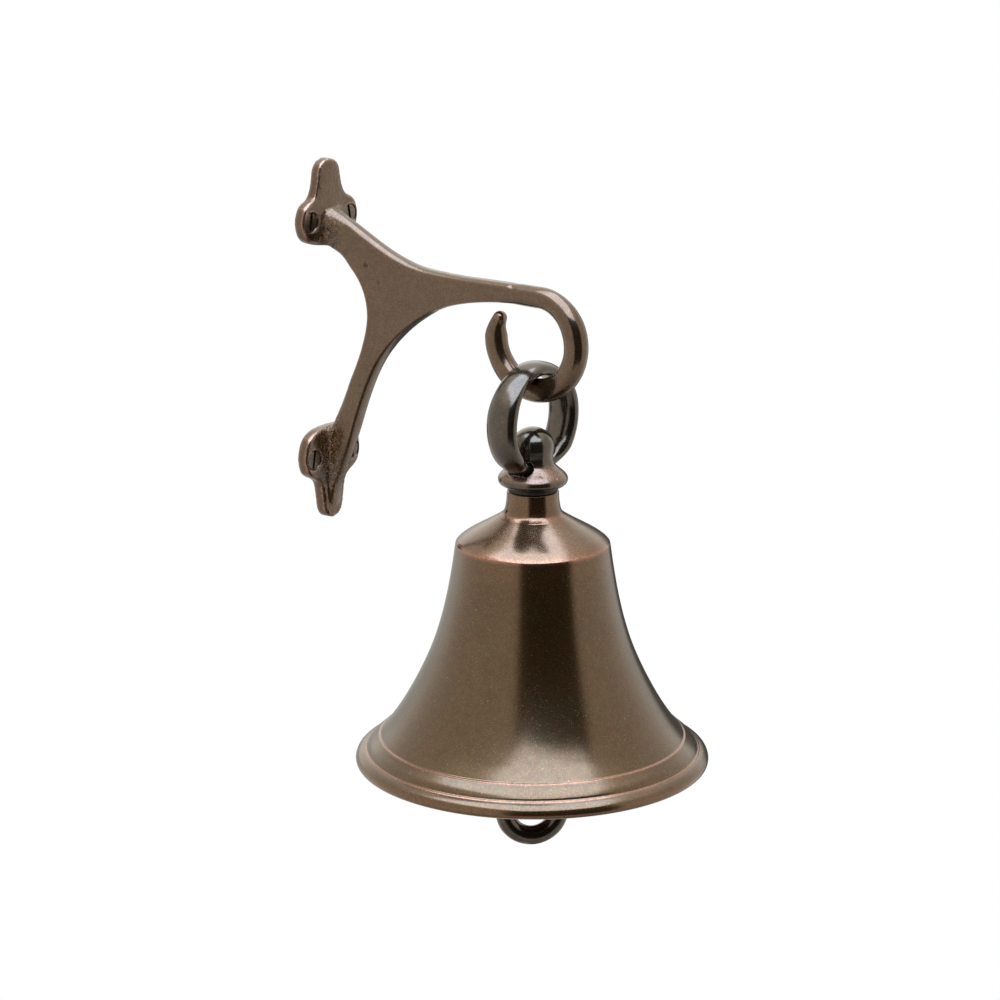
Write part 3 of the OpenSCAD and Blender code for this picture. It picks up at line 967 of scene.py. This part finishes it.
def paint_bell(bell):
    """Bright where hands and cloths rub the outside, with painted shade round the neck and under the ridges,
    and rough with painted shade inside.
    """
    at = coords(bell)
    radial, height = np.hypot(at[:, 0], at[:, 1]), at[:, 2]
    outward = (normals(bell)[:, :2] * at[:, :2]).sum(1) / radial.clip(0.1)
    outside = np.where((outward > -0.02) | (height > -69), 1.0, 0.0)
    patchy = 0.55 + 0.45 * ripple(at, 9.0, 43, 2)
    shoulder = 0.75 * line_at(height, -73.7, 0.9) + 0.22 * line_at(height, -72.2, 2.2)
    shoulder += 0.10 * line_at(height, -79.0, 5.0) + 0.16 * ease(height, -73, -66)
    ridges = line_at(height, -159.6, 0.30) + line_at(height, -165.4, 0.30)
    lip = 0.22 * line_at(height, -169.6, 1.6) + 0.6 * line_at(height, -171.5, 0.6)
    neck = 0.35 * line_at(height, -60.9, 0.9)
    worn = shoulder * (0.8 + 0.3 * patchy) + ridges * (0.55 + 0.35 * patchy) + lip + neck
    # Painted shade: a dark band round the neck and a dark line under each ridge
    deep = 0.35 * line_at(height, -58.1, 0.6) * (radial < 13)
    deep = deep + 0.25 * (line_at(height, -160.5, 0.4) + line_at(height, -166.1, 0.4))
    # Inside the bell: rough cast skin under painted shade
    paint(bell, wear=worn * outside, deep=deep * outside + (1 - outside) * 0.45, cast=(1 - outside) * 0.55)


def bell():
    casting = revolve("bell_cast", bell_profile(), 320, closed=True, wobble=spun)
    paint_bell(casting)
    finish_piece(on_axis(casting), "bell", "bell", bell_bronze, 60)


# -------- inside the bell


def crown_washer():
    outline = [(4.1, -71.95), (11.2, -71.95), (11.5, -71.65), (11.5, -70.4), (11.2, -70.05), (4.1, -70.05)]
    washer = revolve("crown_washer_turned", list(rounded(outline, 0.25, 3)), 96, closed=True)
    paint(washer, wear=0.1, cast=0.1, deep=0.1)
    finish_piece(on_axis(washer), "bell", "crown_washer", inner_brass)


def hex_nut(low, high, flat_r, bore):
    """A hexagon nut with chamfered corners and a bore."""
    segments = 240
    levels = [low + h for h in np.linspace(0, 1.2, 7)] + [high - h for h in np.linspace(1.2, 0, 7)]
    verts = []
    for z, in_bore in [(low, True)] + [(z, False) for z in levels] + [(high, True)]:
        for k in range(segments):
            a = 2 * math.pi * k / segments
            hexagon = flat_r / math.cos((a + math.pi / 6) % (math.pi / 3) - math.pi / 6)
            cone = flat_r - 0.15 + min(z - low, high - z) * 1.7
            r = bore if in_bore else min(hexagon, cone)
            verts.append((r * math.cos(a), r * math.sin(a), z))
    return tidy_normals(mesh_object("crown_nut_chamfered", verts, row_faces(len(levels) + 2, segments, True)))


def crown_nut():
    nut = hex_nut(-78.5, -72.0, 6.5, 4.02)
    paint(nut, wear=0.4 * ease(edge_curve(nut, 1), 0.2, 0.8), cast=0, deep=0.1)
    finish_piece(on_axis(nut), "bell", "crown_nut", inner_brass, 25)


def ringed(name, stem, ring, voxel, meet_z, rounds, reach):
    """A stem and a ring cast in one, with a fillet where they meet."""
    piece = cast_together(join(name, [stem, ring]), voxel)
    from_meet = np.abs(coords(piece)[:, 2] - meet_z)
    soften(piece, rounds, 1 - ease(from_meet, *reach))
    relax(piece, 5, 0.8)
    return piece


def staple():
    boss = revolve("boss", [(0, -79.0), (6.1, -79.0), (6.5, -79.4), (6.5, -88.4), (5.6, -90.2), (3.6, -91.6),
                            (0, -91.8)], 96)
    eye_nut = ringed("staple_eye", boss, eye_ring(7.0, 2.6, -97, "X"), 0.28, -90.5, 10, (2.0, 4.0))
    paint(eye_nut, wear=0.35 * ease(edge_curve(eye_nut, 3), 0.25, 0.6), cast=0.1, deep=0)
    finish_piece(on_axis(eye_nut), "bell", "staple", inner_brass)


# -------- clapper


def clapper_rod():
    profile = [(0, -111.0), (2.4, -111.2), (3.6, -113.2), (3.6, -138), (3.6, -172)]
    profile += [(3.6, z) for z in np.linspace(-172.2, -180.6, 12)] + [(3.2, -181.0), (0, -181.0)]
    eye = eye_ring(7.0, 2.6, -105.5, "Y")
    rod = ringed("clapper_rod_eyed", revolve("rod", profile, 72), eye, 0.3, -113.0, 12, (2.5, 5.0))
    paint(rod, wear=0.3 * ease(edge_curve(rod, 3), 0.2, 0.5), cast=0.15, deep=0)
    finish_piece(on_axis(rod), "clapper", "clapper_rod", inner_brass)


def clapper_ball():
    """The ball with a collar above and below, bright on the belt that strikes the bell."""
    ball_z, ball_r = -155.0, 17.0
    collar = smooth([(4.6, 20.5), (4.9, 19.2), (5.6, 17.5), (6.9, 15.9)], 6)
    upper = [(3.62, 20.6), (4.5, 20.6)] + [tuple(p) for p in collar]
    slopes = np.radians(np.linspace(63, -63, 85))
    sphere = [(ball_r * math.cos(a), ball_r * math.sin(a)) for a in slopes]
    lower = [(r, -z) for r, z in reversed(upper)]
    profile = [(r, ball_z + z) for r, z in upper + sphere + lower]
    ball = revolve("clapper_ball_turned", profile, 192, closed=True)
    at = coords(ball)
    belt = line_at(at[:, 2], ball_z + 2, 4.5) * np.abs(at[:, 1]) / ball_r
    # Painted shade on the collars and the ends, round the rod
    paint(ball, wear=0.6 * belt ** 3, cast=0.12, deep=0.5 * (np.hypot(at[:, 0], at[:, 1]) < 6.2))
    finish_piece(on_axis(ball), "clapper", "clapper_ball", inner_brass, 60)


def tail_ring():
    """The thick ring under the mouth, turned as it hangs in the rest pose."""
    ring_z = -194.5
    profile = [(0, -176.1), (4.7, -176.1), (5.2, -176.5), (5.2, -181.0), (5.0, -184.4), (0, -184.6)]
    ring = eye_ring(12.0, 4.2, ring_z, "Y", 160, 48)
    tail = ringed("tail_ring_cast", revolve("boss", profile, 72), ring, 0.34, -180.8, 10, (2.0, 4.0))
    uneven(tail, 7.0, 61, 0.07)
    at = coords(tail)
    paint(tail, wear=0.35 * ease(np.hypot(at[:, 1], at[:, 2] - ring_z), 9.6, 8.0), cast=0, deep=0)
    moved(tail, turn(48, "Z"))
    finish_piece(on_axis(tail), "clapper", "tail_ring", link_bronze)


for build in (bracket, wall_screws, link, crown_eye, crown_stud, crown_gasket, bell,
              crown_washer, crown_nut, staple, clapper_rod, clapper_ball, tail_ring):
    build()

# -------- stage


def white_sheet(name, corners):
    """A plain white face that only the camera sees, and only from its front."""
    m = bpy.data.materials.new(name)
    m.use_nodes = True
    t = m.node_tree
    t.nodes.clear()
    facing = t.nodes.new("ShaderNodeMath")
    facing.operation, facing.use_clamp = "SUBTRACT", True
    t.links.new(t.nodes.new("ShaderNodeLightPath").outputs["Is Camera Ray"], facing.inputs[0])
    t.links.new(t.nodes.new("ShaderNodeNewGeometry").outputs["Backfacing"], facing.inputs[1])
    share = t.nodes.new("ShaderNodeMixShader")
    t.links.new(facing.outputs[0], share.inputs[0])
    t.links.new(t.nodes.new("ShaderNodeBsdfTransparent").outputs[0], share.inputs[1])
    t.links.new(t.nodes.new("ShaderNodeEmission").outputs[0], share.inputs[2])
    t.links.new(share.outputs[0], t.nodes.new("ShaderNodeOutputMaterial").inputs["Surface"])
    sheet = mesh_object(name, corners, [(0, 1, 2, 3)])
    sheet.data.materials.append(m)


FLOOR_HALF, FLOOR_Z = 9, -0.9
WALL_HALF, WALL_Y = 0.6, 0.0003
corners = ((-1, -1), (1, -1), (1, 1), (-1, 1))
white_sheet("pale_floor", [(FLOOR_HALF * a, FLOOR_HALF * b, FLOOR_Z) for a, b in corners])
# Stands for the wall, just behind the plates, and hides the screws' shanks from the front and sides
white_sheet("white_wall", [(WALL_HALF * a, WALL_Y, WALL_HALF * b) for a, b in corners])

scene = bpy.context.scene
scene.view_settings.view_transform = "Standard"

# The camera stands to the left of the bell's front and a little above it
VIEW_AZ, VIEW_EL = math.radians(-52.51), math.radians(15.51)
CAMERA_AT = Vector((-1.2420, -1.0500, 0.3761))
RIGHT = Vector((math.cos(VIEW_AZ), math.sin(VIEW_AZ), 0))
LEVEL = Vector((math.sin(VIEW_AZ), -math.cos(VIEW_AZ), 0))
to_camera = LEVEL * math.cos(VIEW_EL) + Vector((0, 0, math.sin(VIEW_EL)))
camera_data = bpy.data.cameras.new("camera")
camera_data.lens = 136.8
camera_data.sensor_width = 36
camera_data.clip_end = 50
camera = bpy.data.objects.new("camera", camera_data)
scene.collection.objects.link(camera)
facing = Matrix((RIGHT, to_camera.cross(RIGHT), to_camera)).transposed()
camera.matrix_world = Matrix.Translation(CAMERA_AT) @ facing.to_4x4()
scene.camera = camera

# The studio: white screens all round, a dark gap behind the camera and a brighter, cooler soft box above.
# It is laid out in degrees to the right of the camera's side of the bell, and above level.


class StudioNodes(Nodes):
    """The same short calls for the world's nodes. Angles are in degrees."""

    def __init__(self, world):
        world.use_nodes = True
        self.tree = world.node_tree
        self.way = self.tree.nodes.new("ShaderNodeTexCoord").outputs["Generated"]

    def along(self, direction):
        d = self.tree.nodes.new("ShaderNodeVectorMath")
        d.operation = "DOT_PRODUCT"
        self.put(d.inputs[0], self.way)
        d.inputs[1].default_value = direction
        return d.outputs["Value"]

    def between(self, value, low, high, soft_low, soft_high):
        """1 from low to high, falling to 0 over the given widths."""
        falling = self.span(value, high, high + soft_high, 1, 0)
        return self.product(self.span(value, low - soft_low, low), falling)

    def without(self, light, mask, share):
        """Takes a share of the light out where the mask is 1. A share below 0 adds light."""
        return self.product(light, self.math("SUBTRACT", 1.0, self.product(mask, share)))


world = bpy.data.worlds.new("studio")
scene.world = world
n = StudioNodes(world)
turned = n.product(n.math("ARCTAN2", n.along(RIGHT), n.along(LEVEL)), 180 / math.pi)
rise = n.along((0, 0, 1))
high = n.product(n.math("ARCSINE", rise), 180 / math.pi)

# Screens all round, dimmer low down and brighter high up, with a wide gap on the camera's side
# and a narrow one behind
gap_rows = n.product(n.span(high, -40, -24), n.span(high, 40, 48, 1, 0))
gap = n.product(n.between(turned, -14, 52, 9, 9), gap_rows)
rim = n.product(n.between(turned, 154, 172, 8, 6), n.span(high, 5, 20, 1, 0))
screens = n.without(n.without(n.span(high, -75, -15, 0.4, 0.9), gap, 0.98), rim, 0.85)
screens = n.product(screens, n.span(high, 34, 56, 1.0, 1.6))

# Straight behind the bell they are dimmer below level and brighter above it
behind = n.span(n.along(LEVEL), -0.98, -0.55, 1, 0)
screens = n.without(screens, n.product(behind, n.span(high, -4, 9, 1, 0)), 0.5)
screens = n.without(screens, n.product(behind, n.span(high, 4, 14)), -0.4)

# The large soft box over the bell, as a turned oblong on a level ceiling
BOX_TURN = math.radians(23)
long_way = LEVEL * math.cos(BOX_TURN) + RIGHT * math.sin(BOX_TURN)
wide_way = RIGHT * math.cos(BOX_TURN) - LEVEL * math.sin(BOX_TURN)
over = n.math("MAXIMUM", rise, 0.05)
box_long = n.between(n.math("DIVIDE", n.along(long_way), over), -0.40, 0.95, 0.15, 0.10)
box_wide = n.between(n.math("DIVIDE", n.along(wide_way), over), -0.58, 0.44, 0.12, 0.14)
box = n.product(box_long, box_wide)
SCREEN_COLOUR, BOX_COLOUR, BOX_STRENGTH = (1.0, 0.97, 0.90), (0.85, 1.02, 1.26), 3.6
sky = n.tree.nodes["Background"]
n.put(sky.inputs["Color"], n.mix(box, SCREEN_COLOUR, BOX_COLOUR))
n.put(sky.inputs["Strength"], n.math("ADD", screens, n.product(box, BOX_STRENGTH)))

# The camera itself sees plain white
white = n.tree.nodes.new("ShaderNodeBackground")
white.inputs["Color"].default_value = (1, 1, 1, 1)
seen = n.tree.nodes.new("ShaderNodeLightPath")
share = n.tree.nodes.new("ShaderNodeMixShader")
n.put(share.inputs[0], seen.outputs["Is Camera Ray"])
n.put(share.inputs[1], sky.outputs[0])
n.put(share.inputs[2], white.outputs[0])
n.put(n.tree.nodes["World Output"].inputs["Surface"], share.outputs[0])
